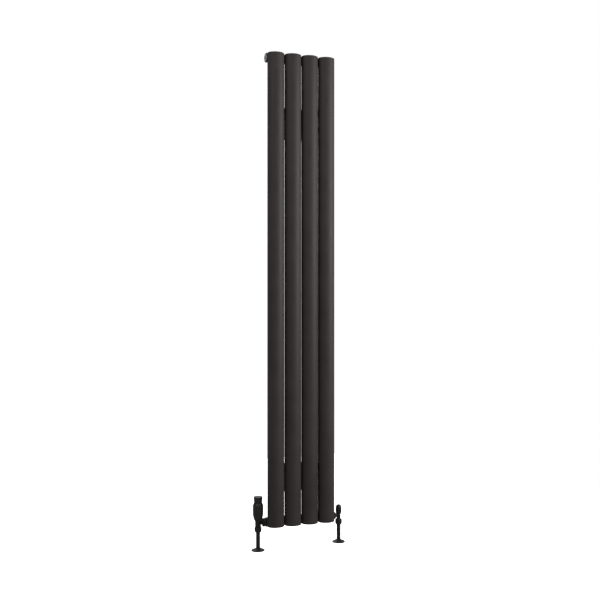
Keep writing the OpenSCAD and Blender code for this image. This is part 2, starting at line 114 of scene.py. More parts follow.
def rounded(points, steps=5):  # (radius, height, fillet) corners become arcs
    out = []
    for i, point in enumerate(points):
        if len(point) < 3 or i in (0, len(points) - 1):
            out.append(tuple(point[:2]))
            continue
        corner = Vector(point[:2])
        back = (Vector(points[i - 1][:2]) - corner).normalized()
        ahead = (Vector(points[i + 1][:2]) - corner).normalized()
        half = back.angle(ahead) / 2
        middle = corner + (back + ahead).normalized() * point[2] / math.sin(half)
        first = corner + back * point[2] / math.tan(half) - middle
        last = corner + ahead * point[2] / math.tan(half) - middle
        for s in range(steps + 1):
            turned = first.normalized().slerp(last.normalized(), s / steps)
            out.append(tuple(middle + turned * point[2]))
    return out


def circleRing(radius, height, sides):
    turns = [2 * math.pi * k / sides for k in range(sides)]
    return [(radius * math.cos(t), radius * math.sin(t), height) for t in turns]


def lathe(name, profile, place, loop=False, sides=96, sharpAngle=35):
    rings = [circleRing(max(r, 0), z, sides) for r, z in profile]
    if loop:
        return loft(name, rings, place, True, sharpAngle)
    count = len(rings)
    faces = [(i * sides + k, i * sides + (k + 1) % sides,
              (i + 1) * sides + (k + 1) % sides, (i + 1) * sides + k)
             for i in range(count - 1) for k in range(sides)]
    mesh = bpy.data.meshes.new(name)
    mesh.from_pydata([p for ring in rings for p in ring], [], faces)
    mesh.transform(place)
    finishMesh(mesh, sharpAngle)
    return newObject(name, mesh)


def hexRadius(turn, acrossFlats):
    return acrossFlats / 2 / math.cos((turn % (math.pi / 3)) - math.pi / 6)


def hexNut(name, acrossFlats, outside, bore, place, sides=144):
    rings = []  # outside limits the hexagon's radius, bore is plainly round
    for limit, z in outside:
        ring = []
        for k in range(sides):
            turn = 2 * math.pi * k / sides
            radius = min(limit, hexRadius(turn, acrossFlats))
            ring.append((radius * math.cos(turn), radius * math.sin(turn), z))
        rings.append(ring)
    rings += [circleRing(r, z, sides) for r, z in bore]
    return loft(name, rings, place, True, 32)


def flattened(item):  # turns what the modifiers make into a plain mesh
    ready = item.evaluated_get(bpy.context.evaluated_depsgraph_get())
    mesh = bpy.data.meshes.new_from_object(ready)
    item.modifiers.clear()
    item.data = mesh
    return item


def boolean(item, tool, operation):
    step = item.modifiers.new(operation, "BOOLEAN")
    step.operation, step.solver, step.object = operation, "EXACT", tool
    flattened(item)
    bpy.data.objects.remove(tool)
    return item


def joined(name, pieces):
    work = bmesh.new()
    for piece in pieces:
        work.from_mesh(piece.data)
        bpy.data.objects.remove(piece)
    mesh = bpy.data.meshes.new(name)
    work.to_mesh(mesh)
    work.free()
    return newObject(name, mesh)


def softened(node, name, width, segments=3):  # a CAD shape with its edges rounded over
    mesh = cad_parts[node].data.copy()
    mesh.materials.clear()
    work = bmesh.new()
    work.from_mesh(mesh)
    bmesh.ops.remove_doubles(work, verts=work.verts, dist=1e-6)
    bmesh.ops.dissolve_limit(work, angle_limit=math.radians(1), verts=work.verts, edges=work.edges)
    bmesh.ops.recalc_face_normals(work, faces=work.faces)
    work.to_mesh(mesh)
    work.free()
    item = newObject(name, mesh)
    step = item.modifiers.new("edges", "BEVEL")
    step.width, step.segments, step.limit_method = width * mm, segments, "ANGLE"
    step.angle_limit = math.radians(40)
    flattened(item)
    item.data.shade_smooth()
    item.data.set_sharp_from_angle(angle=math.radians(35))
    return item


def place(item, body, material, slot, *nodes):  # the last steps for every new piece
    item.data.materials.clear()
    item.data.materials.append(material)
    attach(item, body)
    if nodes:
        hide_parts(*nodes)
    return item


# Helpers for node trees

def addNode(tree, kind, inputs=None, **settings):
    node = tree.nodes.new(kind)
    for key, value in settings.items():
        setattr(node, key, value)
    for key, value in (inputs or {}).items():
        if isinstance(value, bpy.types.NodeSocket):
            tree.links.new(value, node.inputs[key])
        else:
            node.inputs[key].default_value = value
    return node


def colour(code):  # sRGB hex to linear
    parts = [int(code[i:i + 2], 16) / 255 for i in (1, 3, 5)]
    return [p / 12.92 if p <= 0.04045 else ((p + 0.055) / 1.055) ** 2.4 for p in parts] + [1]


# Materials

def startMaterial(name, metallic, ior, specular, roughness):
    material = bpy.data.materials.new(name)
    material.use_nodes = True
    tree = material.node_tree
    shader = tree.nodes["Principled BSDF"]
    shader.inputs["Metallic"].default_value = metallic
    shader.inputs["IOR"].default_value = ior
    shader.inputs["Specular IOR Level"].default_value = specular
    shader.inputs["Roughness"].default_value = roughness
    coords = addNode(tree, "ShaderNodeTexCoord").outputs["Object"]
    return material, tree, shader, coords


def tinted(tree, shader, factor, dark, pale):
    mix = addNode(tree, "ShaderNodeMix", {0: factor, 6: colour(dark), 7: colour(pale)},
                  data_type="RGBA")
    tree.links.new(mix.outputs[2], shader.inputs["Base Color"])


def roughened(tree, shader, factor, low, high):
    spread = addNode(tree, "ShaderNodeMapRange", {0: factor, 1: 0.3, 2: 0.7, 3: low, 4: high})
    tree.links.new(spread.outputs[0], shader.inputs["Roughness"])


def bumped(tree, shader, height, depth, strength):
    bump = addNode(tree, "ShaderNodeBump",
                   {"Height": height, "Distance": depth * mm, "Strength": strength})
    tree.links.new(bump.outputs[0], shader.inputs["Normal"])


def powderCoat(name, dark, pale, specular, roughness, peelSize=1.6):
    # fused polyester powder: an even satin film with orange peel, real peel is about 0.7 mm
    # from crest to crest and is drawn coarser so that it shows
    material, tree, shader, coords = startMaterial(name, 0, 1.5, specular, roughness)
    peel = addNode(tree, "ShaderNodeTexNoise",
                   {"Vector": coords, "Scale": 1 / (peelSize * mm), "Detail": 2, "Roughness": 0.45})
    cloud = addNode(tree, "ShaderNodeTexNoise",
                    {"Vector": coords, "Scale": 1 / (85 * mm), "Detail": 3, "Roughness": 0.55})
    fleck = addNode(tree, "ShaderNodeTexNoise",
                    {"Vector": coords, "Scale": 1 / (0.9 * mm), "Detail": 1, "Roughness": 0.6})
    shade = addNode(tree, "ShaderNodeMath",
                    {0: cloud.outputs["Fac"], 1: fleck.outputs["Fac"]}, operation="MULTIPLY")
    spread = addNode(tree, "ShaderNodeMapRange", {0: shade.outputs[0], 1: 0.12, 2: 0.4})
    tinted(tree, shader, spread.outputs[0], dark, pale)
    roughened(tree, shader, cloud.outputs["Fac"], roughness - 0.05, roughness + 0.06)
    bumped(tree, shader, peel.outputs["Fac"], 0.06, 0.35)
    return material


def mouldedPlastic(name, dark, pale, specular, roughness, sparkSize=0.8, ior=1.53):
    # moulded in a spark-eroded tool: a fine even grain that scatters the light
    material, tree, shader, coords = startMaterial(name, 0, ior, specular, roughness)
    spark = addNode(tree, "ShaderNodeTexVoronoi", {"Vector": coords, "Scale": 1 / (sparkSize * mm)})
    grain = addNode(tree, "ShaderNodeTexNoise",
                    {"Vector": coords, "Scale": 1 / (0.6 * mm), "Detail": 3, "Roughness": 0.6})
    flow = addNode(tree, "ShaderNodeTexNoise",
                   {"Vector": coords, "Scale": 1 / (22 * mm), "Detail": 2, "Roughness": 0.5})
    tinted(tree, shader, flow.outputs["Fac"], dark, pale)
    roughened(tree, shader, grain.outputs["Fac"], roughness - 0.05, roughness + 0.07)
    bumped(tree, shader, spark.outputs["Distance"], 0.03, 0.3)
    return material


def turnedMetal(name, dark, pale, roughness, centre, axis, ringPitch=0.7):
    # turned on a lathe: fine rings round the axis, about 0.15 mm apart, drawn coarser to show
    material, tree, shader, coords = startMaterial(name, 1, 1.5, 0.5, roughness)
    moved = addNode(tree, "ShaderNodeMapping",
                    {"Vector": coords, "Location": [-c for c in centre]}, vector_type="POINT")
    rings = addNode(tree, "ShaderNodeTexWave",
                    {"Vector": moved.outputs[0], "Scale": 1 / (ringPitch * mm) / 3.2,
                     "Distortion": 0.4, "Detail": 1}, wave_type="BANDS", bands_direction=axis)
    stain = addNode(tree, "ShaderNodeTexNoise",
                    {"Vector": coords, "Scale": 1 / (6 * mm), "Detail": 4, "Roughness": 0.6})
    tinted(tree, shader, stain.outputs["Fac"], dark, pale)
    roughened(tree, shader, stain.outputs["Fac"], roughness - 0.06, roughness + 0.1)
    bumped(tree, shader, rings.outputs["Fac"], 0.02, 0.25)
    return material


def chromePlate():
    # satin chrome over brass, faintly clouded by fingers and hard water
    material, tree, shader, coords = startMaterial("chromePlate", 1, 1.5, 0.5, 0.26)
    haze = addNode(tree, "ShaderNodeTexNoise",
                   {"Vector": coords, "Scale": 1 / (5 * mm), "Detail": 5, "Roughness": 0.6})
    tinted(tree, shader, haze.outputs["Fac"], "#8F9295", "#B7B9BB")
    roughened(tree, shader, haze.outputs["Fac"], 0.2, 0.36)
    bumped(tree, shader, haze.outputs["Fac"], 0.01, 0.2)
    return material


def mouldedRubber():
    # black EPDM: dull, slightly dusty and soft at the edges
    material, tree, shader, coords = startMaterial("mouldedRubber", 0, 1.52, 0.35, 0.78)
    dust = addNode(tree, "ShaderNodeTexNoise",
                   {"Vector": coords, "Scale": 1 / (1.5 * mm), "Detail": 4, "Roughness": 0.65})
    tinted(tree, shader, dust.outputs["Fac"], "#0E0E0E", "#232221")
    roughened(tree, shader, dust.outputs["Fac"], 0.7, 0.88)
    bumped(tree, shader, dust.outputs["Fac"], 0.04, 0.35)
    return material


def springWire():
    # drawn carbon steel wire, oiled: grey with drawing lines along it
    material, tree, shader, coords = startMaterial("springWire", 1, 1.5, 0.5, 0.35)
    lines = addNode(tree, "ShaderNodeTexNoise",
                    {"Vector": coords, "Scale": 1 / (0.5 * mm), "Detail": 3, "Roughness": 0.6})
    tinted(tree, shader, lines.outputs["Fac"], "#6E7073", "#A4A6A8")
    roughened(tree, shader, lines.outputs["Fac"], 0.28, 0.45)
    bumped(tree, shader, lines.outputs["Fac"], 0.01, 0.3)
    return material


def paleFloor():
    # smooth painted studio floor, almost white and without gloss
    material, tree, shader, coords = startMaterial("paleFloor", 0, 1.45, 0.1, 0.9)
    grain = addNode(tree, "ShaderNodeTexNoise",
                    {"Vector": coords, "Scale": 1 / (40 * mm), "Detail": 3, "Roughness": 0.5})
    tinted(tree, shader, grain.outputs["Fac"], "#F3F3F2", "#F7F7F6")
    roughened(tree, shader, grain.outputs["Fac"], 0.85, 0.92)
    shader.inputs["Emission Color"].default_value = (1, 1, 1, 1)
    shader.inputs["Emission Strength"].default_value = 1
    return material


anthraciteCoat = powderCoat("anthraciteCoat", "#2B2726", "#363130", 0.2, 0.58)
valveCoat = powderCoat("valveCoat", "#121111", "#1B1A19", 0.28, 0.52, 0.9)
pipeCoat = powderCoat("pipeCoat", "#141313", "#1D1B1A", 0.3, 0.48, 1.1)
collarPlastic = mouldedPlastic("collarPlastic", "#121111", "#1B1A19", 0.3, 0.5)
headPlastic = mouldedPlastic("headPlastic", "#131212", "#1C1B1A", 0.32, 0.46)
sleevePlastic = mouldedPlastic("sleevePlastic", "#101010", "#1A1A1A", 0.35, 0.55, 1.0)
whiteAcetal = mouldedPlastic("whiteAcetal", "#DAD9D3", "#E9E8E3", 0.5, 0.38, 0.7, 1.48)
chromeFinish = chromePlate()
rubberSeal = mouldedRubber()
wireSteel = springWire()
turnedSteel = turnedMetal("turnedSteel", "#8D9093", "#B4B6B8", 0.36, topAxis, "X")
branchBrass = turnedMetal("branchBrass", "#9C7B3C", "#C6A25A", 0.34, lowAxis, "X")
uprightBrass = turnedMetal("uprightBrass", "#A07E3E", "#CBA75E", 0.3, pipeMiddles[1], "Z")
print("materials made")


# Geometry Nodes trees

def startTree(name, extra):
    tree = bpy.data.node_groups.new(name, "GeometryNodeTree")
    tree.interface.new_socket("Geometry", in_out="INPUT", socket_type="NodeSocketGeometry")
    for label, kind in extra:
        tree.interface.new_socket(label, in_out="INPUT", socket_type="NodeSocket" + kind)
    tree.interface.new_socket("Material", in_out="INPUT", socket_type="NodeSocketMaterial")
    tree.interface.new_socket("Geometry", in_out="OUTPUT", socket_type="NodeSocketGeometry")
    return tree, addNode(tree, "NodeGroupInput").outputs


def endTree(tree, geometry, entry):
    real = addNode(tree, "GeometryNodeRealizeInstances", {"Geometry": geometry})
    painted = addNode(tree, "GeometryNodeSetMaterial",
                      {"Geometry": real.outputs[0], "Material": entry["Material"]})
    addNode(tree, "NodeGroupOutput", {"Geometry": painted.outputs[0]})
    return tree


def rowTree():  # copies a shape along a straight line
    tree, entry = startTree("rowOfCopies", [("Count", "Int"), ("Step", "Vector")])
    line = addNode(tree, "GeometryNodeMeshLine", {"Count": entry["Count"], "Offset": entry["Step"]})
    copies = addNode(tree, "GeometryNodeInstanceOnPoints",
                     {"Points": line.outputs[0], "Instance": entry["Geometry"]})
    return endTree(tree, copies.outputs[0], entry)


def turnTree():  # copies a shape round the upright axis, then moves the ring to its centre
    tree, entry = startTree("ringOfCopies", [("Count", "Int"), ("Centre", "Vector")])
    line = addNode(tree, "GeometryNodeMeshLine", {"Count": entry["Count"], "Offset": (0, 0, 0)})
    step = addNode(tree, "ShaderNodeMath", {0: 2 * math.pi, 1: entry["Count"]}, operation="DIVIDE")
    index = addNode(tree, "GeometryNodeInputIndex")
    turn = addNode(tree, "ShaderNodeMath", {0: index.outputs[0], 1: step.outputs[0]},
                   operation="MULTIPLY")
    spin = addNode(tree, "ShaderNodeCombineXYZ", {"Z": turn.outputs[0]})
    copies = addNode(tree, "GeometryNodeInstanceOnPoints",
                     {"Points": line.outputs[0], "Instance": entry["Geometry"],
                      "Rotation": spin.outputs[0]})
    moved = addNode(tree, "GeometryNodeTransform",
                    {"Geometry": copies.outputs[0], "Translation": entry["Centre"]})
    return endTree(tree, moved.outputs[0], entry)


def beadTree():  # a rippled weld bead along lines
    tree, entry = startTree("weldBead", [("Bead radius", "Float"), ("Ripple pitch", "Float"),
                                         ("Ripple depth", "Float")])
    line = addNode(tree, "GeometryNodeMeshToCurve", {"Mesh": entry["Geometry"]})
    gap = addNode(tree, "ShaderNodeMath", {0: entry["Ripple pitch"], 1: 5}, operation="DIVIDE")
    fine = addNode(tree, "GeometryNodeResampleCurve",
                   {"Curve": line.outputs[0], "Length": gap.outputs[0]}, mode="LENGTH")
    along = addNode(tree, "GeometryNodeSplineParameter")
    phase = addNode(tree, "ShaderNodeMath", {0: along.outputs["Length"], 1: entry["Ripple pitch"]},
                    operation="DIVIDE")
    angle = addNode(tree, "ShaderNodeMath", {0: phase.outputs[0], 1: 2 * math.pi},
                    operation="MULTIPLY")
    wave = addNode(tree, "ShaderNodeMath", {0: angle.outputs[0]}, operation="SINE")
    size = addNode(tree, "ShaderNodeMath",
                   {0: wave.outputs[0], 1: entry["Ripple depth"], 2: 1}, operation="MULTIPLY_ADD")
    circle = addNode(tree, "GeometryNodeCurvePrimitiveCircle",
                     {"Resolution": 8, "Radius": entry["Bead radius"]})
    skin = addNode(tree, "GeometryNodeCurveToMesh",
                   {"Curve": fine.outputs[0], "Profile Curve": circle.outputs[0],
                    "Scale": size.outputs[0], "Fill Caps": True})
    smooth = addNode(tree, "GeometryNodeSetShadeSmooth", {"Geometry": skin.outputs[0]})
    return endTree(tree, smooth.outputs[0], entry)


def runTree(item, tree, values):
    keys = {s.name: s.identifier for s in tree.interface.items_tree if s.in_out == "INPUT"}
    step = item.modifiers.new(tree.name, "NODES")
    step.node_group = tree
    for label, value in values.items():
        step[keys[label]] = value
    return flattened(item)


rowOfCopies, ringOfCopies, weldBead = rowTree(), turnTree(), beadTree()
print("node trees made")


# Upright tubes: four true arcs round, closed by a plate let into each end

tubeSizes = {"sideRadius": 21, "arcPoints": 14, "flankPoints": 30, "stations": 9,
             "endSteps": [(9, 0.12), (3.0, 0.12), (2.5, 0.4), (1.9, 0.4), (1.55, 0.06),
                          (1.1, 0), (0.55, 0.13), (0.16, 0.5), (0, 1.15)]}
tubeHalf = (tubeHigh.x - tubeLow.x) / 2 / mm
tubeDeep = (tubeHigh.y - tubeLow.y) / 2 / mm
sideRadius = tubeSizes["sideRadius"]
sideOffset = tubeHalf - sideRadius
flankRadius = ((tubeHalf ** 2 - 2 * tubeHalf * sideRadius + tubeDeep ** 2)
               / (2 * (tubeDeep - sideRadius)))
flankOffset = flankRadius - tubeDeep
joinAngle = math.atan2(flankOffset, sideOffset)  # where a side arc meets a flank arc


def ovalRing(inset, height):
    points = []
    arcs = [((sideOffset, 0), sideRadius, -joinAngle, joinAngle, tubeSizes["arcPoints"]),
            ((0, -flankOffset), flankRadius, joinAngle, math.pi - joinAngle,
             tubeSizes["flankPoints"]),
            ((-sideOffset, 0), sideRadius, math.pi - joinAngle, math.pi + joinAngle,
             tubeSizes["arcPoints"]),
            ((0, flankOffset), flankRadius, math.pi + joinAngle, 2 * math.pi - joinAngle,
             tubeSizes["flankPoints"])]
    for (x, y), radius, start, end, steps in arcs:
        for k in range(steps):
            turn = start + (end - start) * k / steps
            points.append((x + (radius - inset) * math.cos(turn),
                           y + (radius - inset) * math.sin(turn), height))
    return points


def ovalHalfWidth(depth):  # half the tube's width at a depth from its middle
    depth = min(abs(depth), tubeDeep)
    if depth < sideRadius * math.sin(joinAngle):
        return sideOffset + math.sqrt(sideRadius ** 2 - depth ** 2)
    return math.sqrt(max(flankRadius ** 2 - (depth + flankOffset) ** 2, 0))


def makeTubes():
    length = (tubeHigh.z - tubeLow.z) / mm
    rings = [ovalRing(inset, depth) for inset, depth in tubeSizes["endSteps"]]
    stations = tubeSizes["stations"]
    rings += [ovalRing(0, length * k / stations) for k in range(1, stations)]
    rings += [ovalRing(inset, length - depth) for inset, depth in reversed(tubeSizes["endSteps"])]
    start = Matrix.Translation(((tubeLow.x + tubeHigh.x) / 2, (tubeLow.y + tubeHigh.y) / 2,
                                tubeLow.z)) @ Matrix.Scale(mm, 4)
    tubes = loft("ovalTubes", rings, start, False, 40)
    runTree(tubes, rowOfCopies, {"Count": len(tubeNodes), "Step": (tubePitch, 0, 0),
                                 "Material": anthraciteCoat})
    place(tubes, "radiator", anthraciteCoat, "anthracite_coat",
          *tubeNodes, "tube_caps_top", "tube_caps_bottom")


makeTubes()
print("tubes made")


# Headers and the weld beads (the threaded bosses keep their CAD shape)

headerSizes = {"outer": 16, "bore": 13.4, "edge": 0.9, "beadRadius": 1.3, "ripplePitch": 2.2,
               "rippleDepth": 0.13}


def makeHeader(node, name, axis):
    outer, bore, edge = headerSizes["outer"], headerSizes["bore"], headerSizes["edge"]
    length = 2 * headerEndX / mm
    profile = [(bore, 0), (outer - edge, 0)] + [
        (outer - edge + edge * math.sin(a), edge - edge * math.cos(a))
        for a in (math.radians(d) for d in (20, 45, 70, 90))]
    profile += [(r, length - z) for r, z in reversed(profile)]
    header = lathe(name, profile, headerEnd(-1, axis) @ Matrix.Scale(-1, 4, (0, 0, 1)), True, 72)
    place(header, "radiator", anthraciteCoat, "anthracite_coat", node)


def jointLoop(tubeX, axis, endZ):  # where a tube meets a header, then across the tube's end
    outer = headerSizes["outer"]
    side = 1 if endZ > axis.z else -1
    middleY = (tubeLow.y + tubeHigh.y) / 2
    reach = (endZ - axis.z) * side / mm  # from the header's axis to the tube's end
    backY = (tubeHigh.y - axis.y) / mm
    startTurn = -math.acos(min(backY / outer, 1))
    endTurn = -math.pi - math.asin(reach / outer)
    half = []
    for k in range(41):
        turn = startTurn + (endTurn - startTurn) * k / 40
        y, z = outer * math.cos(turn), outer * math.sin(turn)
        half.append((ovalHalfWidth((axis.y - middleY) / mm + y), y, z * side))
    path = half + [(-x, y, z) for x, y, z in reversed(half)]
    return [(tubeX + x * mm, axis.y + y * mm, axis.z + z * mm) for x, y, z in path]


def railLines(node, tubeX):  # where a rail's upper and lower edges meet a tube's back
    low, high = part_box(node)
    middleY = (tubeLow.y + tubeHigh.y) / 2
    lines = []
    for z in (low.z, high.z):
        half = ovalHalfWidth((low.y - middleY) / mm)
        line = []
        for k in range(17):
            x = half * (k / 8 - 1)
            y = math.sqrt(flankRadius ** 2 - x ** 2) - flankOffset
            line.append((tubeX + x * mm, middleY + y * mm, z))
        lines.append(line)
    return lines


def makeBeads():
    verts, edges = [], []
    loops, lines = [], []
    firstX = (tubeLow.x + tubeHigh.x) / 2
    for i in range(len(tubeNodes)):
        tubeX = firstX + tubePitch * i
        loops += [jointLoop(tubeX, topAxis, tubeHigh.z), jointLoop(tubeX, lowAxis, tubeLow.z)]
        lines += railLines("hanging_rail_top", tubeX) + railLines("hanging_rail_bottom", tubeX)
    for points, closed in [(p, True) for p in loops] + [(p, False) for p in lines]:
        first = len(verts)
        verts += points
        edges += [(first + k, first + k + 1) for k in range(len(points) - 1)]
        if closed:
            edges.append((first + len(points) - 1, first))
    mesh = bpy.data.meshes.new("weldBeads")
    mesh.from_pydata(verts, edges, [])
    beads = newObject("weldBeads", mesh)
    runTree(beads, weldBead, {"Bead radius": headerSizes["beadRadius"] * mm,
                              "Ripple pitch": headerSizes["ripplePitch"] * mm,
                              "Ripple depth": headerSizes["rippleDepth"],
                              "Material": anthraciteCoat})
    finishMesh(beads.data, 60)
    place(beads, "radiator", anthraciteCoat, "anthracite_coat")


makeHeader("header_top", "headerTop", topAxis)
makeHeader("header_bottom", "headerBottom", lowAxis)
makeBeads()
print("headers and welds made")


# Rails, brackets and hook sleeves

for node, name, width, material, slot in (
        ("hanging_rail_top", "hangingRailTop", 0.7, anthraciteCoat, "anthracite_coat"),
        ("hanging_rail_bottom", "hangingRailBottom", 0.7, anthraciteCoat, "anthracite_coat"),
        ("wall_bracket_top", "wallBracketTop", 0.6, anthraciteCoat, "anthracite_coat"),
        ("wall_bracket_bottom", "wallBracketBottom", 0.6, anthraciteCoat, "anthracite_coat"),
        ("hook_sleeves_top", "hookSleevesTop", 0.3, sleevePlastic, "sleeve_plastic"),
        ("hook_sleeves_bottom", "hookSleevesBottom", 0.3, sleevePlastic, "sleeve_plastic")):
    place(softened(node, name, width), "radiator", material, slot, node)
print("brackets made")


# Blanking plug and air vent

plugSizes = {"flange": 14.4, "sealTop": 0.5, "flangeTop": 1.7, "crown": 2.4, "keyAf": 10,
             "keyLand": 1.9, "keyBevel": 0.8, "keyDepth": 6, "shank": 9.4, "shankEnd": -12}
ventSizes = {"noseRadius": 5.5, "noseTop": 6.5, "bore": 2.55, "ringOut": 8.7, "ringIn": 5.55,
             "ringLow": 2.0, "ringTop": 5.4, "spoutRadius": 1.6, "spoutBore": 0.8,
             "spoutStart": 7, "spoutEnd": 13.5, "screwRadius": 2.5, "squareWidth": 5,
             "screwLow": -3, "screwTop": 9.3}


def hexRing(acrossFlats, shrink, height, sides):  # a ring of points round a hexagon
    ring = []
    for k in range(sides):
        turn = 2 * math.pi * k / sides
        radius = hexRadius(turn, acrossFlats) - shrink
        ring.append((radius * math.cos(turn), radius * math.sin(turn), height))
    return ring


def makePlug():
    s = plugSizes
    sides = 96
    keyRadius = s["keyAf"] / 2
    outside = rounded([(0, s["shankEnd"]), (s["shank"] - 1, s["shankEnd"], 0.3),
                       (s["shank"], s["shankEnd"] + 1, 0.3), (s["shank"], s["sealTop"]),
                       (s["flange"] - 0.3, s["sealTop"], 0.2),
                       (s["flange"], s["sealTop"] + 0.6, 0.3),
                       (s["flange"], s["flangeTop"] - 0.2, 0.3),
                       (s["flange"] - s["crown"], s["flangeTop"], 1),
                       (keyRadius + s["keyLand"], s["flangeTop"] - 0.05, 0.3),
                       (keyRadius + s["keyLand"] - s["keyBevel"], s["flangeTop"] - 0.45)])
    rings = [circleRing(r, z, sides) for r, z in outside]
    rings += [hexRing(s["keyAf"], shrink, z, sides) for shrink, z in
              ((0, s["flangeTop"] - 0.9), (0, -s["keyDepth"]), (1, -s["keyDepth"] - 0.5))]
    plug = loft("blankingPlug", rings, headerEnd(-1, topAxis), False, 30)
    place(plug, "radiator", chromeFinish, "chrome", "blanking_plug")


def makeVent():
    s, p = ventSizes, plugSizes
    spot = headerEnd(1, topAxis)
    body = rounded([
        (s["bore"], s["screwLow"]), (s["bore"], s["noseTop"] - 0.4),
        (s["bore"] + 0.4, s["noseTop"]),
        (s["noseRadius"], s["noseTop"], 0.5), (s["noseRadius"], p["flangeTop"], 0.2),
        (p["flange"], p["flangeTop"], 0.6), (p["flange"], p["sealTop"], 0.3),
        (p["shank"], p["sealTop"]), (p["shank"], p["shankEnd"], 0.6), (s["bore"], p["shankEnd"])])
    place(lathe("airVentBody", body, spot, True), "radiator", chromeFinish, "chrome",
          "air_vent_body")

    ring = lathe("airVentRing", rounded([
        (s["ringIn"], s["ringLow"]), (s["ringOut"], s["ringLow"], 0.5),
        (s["ringOut"], s["ringTop"], 0.5), (s["ringIn"], s["ringTop"], 0.3),
        (s["ringIn"], s["ringLow"])])[:-1], spot, True)
    middle = (s["ringLow"] + s["ringTop"]) / 2
    spout = lathe("spout", rounded([
        (s["spoutBore"], s["spoutStart"]), (s["spoutRadius"], s["spoutStart"]),
        (s["spoutRadius"], s["spoutEnd"], 0.4), (s["spoutBore"], s["spoutEnd"], 0.2),
        (s["spoutBore"], s["spoutStart"])])[:-1],
        spot @ Matrix.Translation((0, 0, middle)) @ Matrix.Rotation(math.radians(90), 4, "Y"),
        True, 48)
    boolean(ring, spout, "UNION")
    finishMesh(ring.data)
    place(ring, "vent_ring", whiteAcetal, "white_plastic", "air_vent_ring")

    sides = 64
    rings = [circleRing(r, z, sides) for r, z in
             ((0.01, s["screwLow"]), (s["screwRadius"] - 0.5, s["screwLow"]),
              (s["screwRadius"], s["screwLow"] + 0.5), (s["screwRadius"], s["noseTop"] + 0.1))]
    half = s["squareWidth"] / 2
    for limit, z in ((half, s["noseTop"] + 0.1), (half * 1.32, s["noseTop"] + 0.7),
                     (half * 1.36, s["screwTop"] - 0.8), (half * 1.05, s["screwTop"] - 0.05),
                     (half * 0.9, s["screwTop"]), (0.01, s["screwTop"])):
        ring = []
        for k in range(sides):
            turn = 2 * math.pi * k / sides
            flat = half / max(abs(math.cos(turn)), abs(math.sin(turn)))
            radius = min(flat, limit)
            ring.append((radius * math.cos(turn), radius * math.sin(turn), z))
        rings.append(ring)
    screw = loft("airVentScrew", rings, spot, False, 30)
    place(screw, "vent_screw", uprightBrass, "brass", "air_vent_screw")


makePlug()
makeVent()
print("plug and air vent made")


# Valve bodies, cast then machined: shapes run together and softened as a casting is

castSizes = {"voxel": 0.42, "smoothing": 6, "low": -27, "spigot": 8.9, "spigotTop": -13,
             "barrelLow": -11, "nutStart": 16.2, "threadEnd": 21.5, "threadRadius": 11.2,
             "waist": 6, "socket": 7.05, "socketDepth": 10, "riser": 5.2, "seat": 4}
trvSizes = {"barrel": 10.2, "barrelTop": 5.7, "neck": 8.4, "top": 12, "chamber": 6.6, "seatZ": -4.5,
            "shoulder": 10.9, "shoulderStart": 12.4}
lockshieldSizes = {"barrel": 7, "rim": 9.05, "rimLow": 5.6, "rimTop": 6.4, "top": 13,
                   "chamber": 5.5, "seatZ": -4.1, "shoulder": 10, "shoulderStart": 10.75}


def castBody(name, side, upright, v):
    s = castSizes
    stem = lathe("stem", upright, valveUpright(side), False, 96)
    arm = lathe("arm", rounded([
        (0, 0), (s["waist"], 0), (s["waist"], v["shoulderStart"]),
        (v["shoulder"], v["shoulderStart"] + 2, 0.4), (v["shoulder"], s["nutStart"]),
        (s["threadRadius"], s["nutStart"], 0.3), (s["threadRadius"], s["threadEnd"], 0.5),
        (0, s["threadEnd"])]), valveBranch(side), False, 96)
    body = joined(name, [stem, arm])
    remesh = body.modifiers.new("cast", "REMESH")
    remesh.mode, remesh.voxel_size, remesh.adaptivity = "VOXEL", s["voxel"] * mm, 0
    soften = body.modifiers.new("soften", "SMOOTH")
    soften.factor, soften.iterations = 0.5, s["smoothing"]
    flattened(body)
    socketTop = s["low"] + s["socketDepth"]
    waterWay = lathe("waterWay", [
        (0, s["low"] - 2), (s["socket"], s["low"] - 2), (s["socket"], socketTop),
        (s["riser"], socketTop), (s["riser"], v["seatZ"] - 3), (s["seat"], v["seatZ"] - 3),
        (s["seat"], v["seatZ"]), (v["chamber"], v["seatZ"]), (v["chamber"], v["top"] + 2),
        (0, v["top"] + 2)], valveUpright(side), False, 96)
    boolean(body, waterWay, "DIFFERENCE")
    finishMesh(body.data, 45)
    return body


def makeTrvBody():
    s, v = castSizes, trvSizes
    upright = rounded([
        (0, s["low"]), (s["spigot"], s["low"], 0.6), (s["spigot"], s["spigotTop"]),
        (v["barrel"], s["barrelLow"], 1), (v["barrel"], -1), (v["barrel"], v["barrelTop"], 1.2),
        (v["neck"], v["barrelTop"]), (v["neck"], v["top"], 0.4), (0, v["top"])])
    place(castBody("trvBody", -1, upright, v), "radiator", valveCoat, "valve_black", "trv_body")


def makeLockshieldBody():
    s, v = castSizes, lockshieldSizes
    upright = rounded([
        (0, s["low"]), (s["spigot"], s["low"], 0.6), (s["spigot"], s["spigotTop"]),
        (v["barrel"], s["barrelLow"], 1), (v["barrel"], v["rimLow"] - 0.8), (v["rim"], v["rimLow"]),
        (v["rim"], v["rimTop"], 0.2), (v["barrel"], v["rimTop"]), (v["barrel"], v["top"], 0.4),
        (0, v["top"])])
    place(castBody("lockshieldBody", 1, upright, v), "radiator", valveCoat, "valve_black",
          "lockshield_body")


makeTrvBody()
makeLockshieldBody()
print("valve bodies made")


# Nuts on both valves

